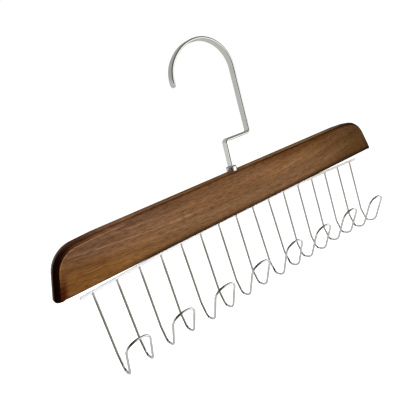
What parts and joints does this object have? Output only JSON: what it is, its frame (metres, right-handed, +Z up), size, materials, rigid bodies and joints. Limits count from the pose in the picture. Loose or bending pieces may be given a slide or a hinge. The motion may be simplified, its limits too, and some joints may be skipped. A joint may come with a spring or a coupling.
{
  "type": "accessory hanger",
  "caption": "Wooden bar hanger with a swivelling cranked strip hook, and a wire rack of J-shaped belt hooks under the bar.",
  "frame": {"origin": "on the swivel axis, at the top of the strip hook's arch, where its inner face sits on a closet rail", "axes": "+X along the bar towards the side that the crank steps to, -Y out of the front that the belt hooks face, +Z up"},
  "size_m": [0.357, 0.0414, 0.2253],
  "materials": {
    "bar_wood": "walnut stain under satin lacquer",
    "strip_chrome": "bright chrome plate",
    "ferrule_chrome": "bright chrome plate, turned",
    "stem_steel": "turned steel, oiled",
    "washer_brass": "plain punched brass",
    "rail_chrome": "bright chrome plate",
    "peg_steel": "plain steel",
    "wire_chrome": "bright chrome plate"
  },
  "bodies": {
    "hook": {"hook_strip": "strip_chrome", "hook_stem": "stem_steel", "stem_washer": "washer_brass"},
    "rack": {"wood_bar": "bar_wood", "swivel_ferrule": "ferrule_chrome", "rack_rail": "rail_chrome", "rack_peg_left": "peg_steel", "rack_peg_right": "peg_steel", "belt_hook_1": "wire_chrome", "belt_hook_2": "wire_chrome", "belt_hook_3": "wire_chrome", "belt_hook_4": "wire_chrome", "belt_hook_5": "wire_chrome", "belt_hook_6": "wire_chrome", "belt_hook_7": "wire_chrome", "belt_hook_8": "wire_chrome"}
  },
  "joints": [
    {"name": "hook_swivel", "type": "hinge", "parent": "hook", "child": "rack", "pos_m": [0, 0, -0.11241], "axis": [0, 0, 1], "continuous": true}
  ]
}
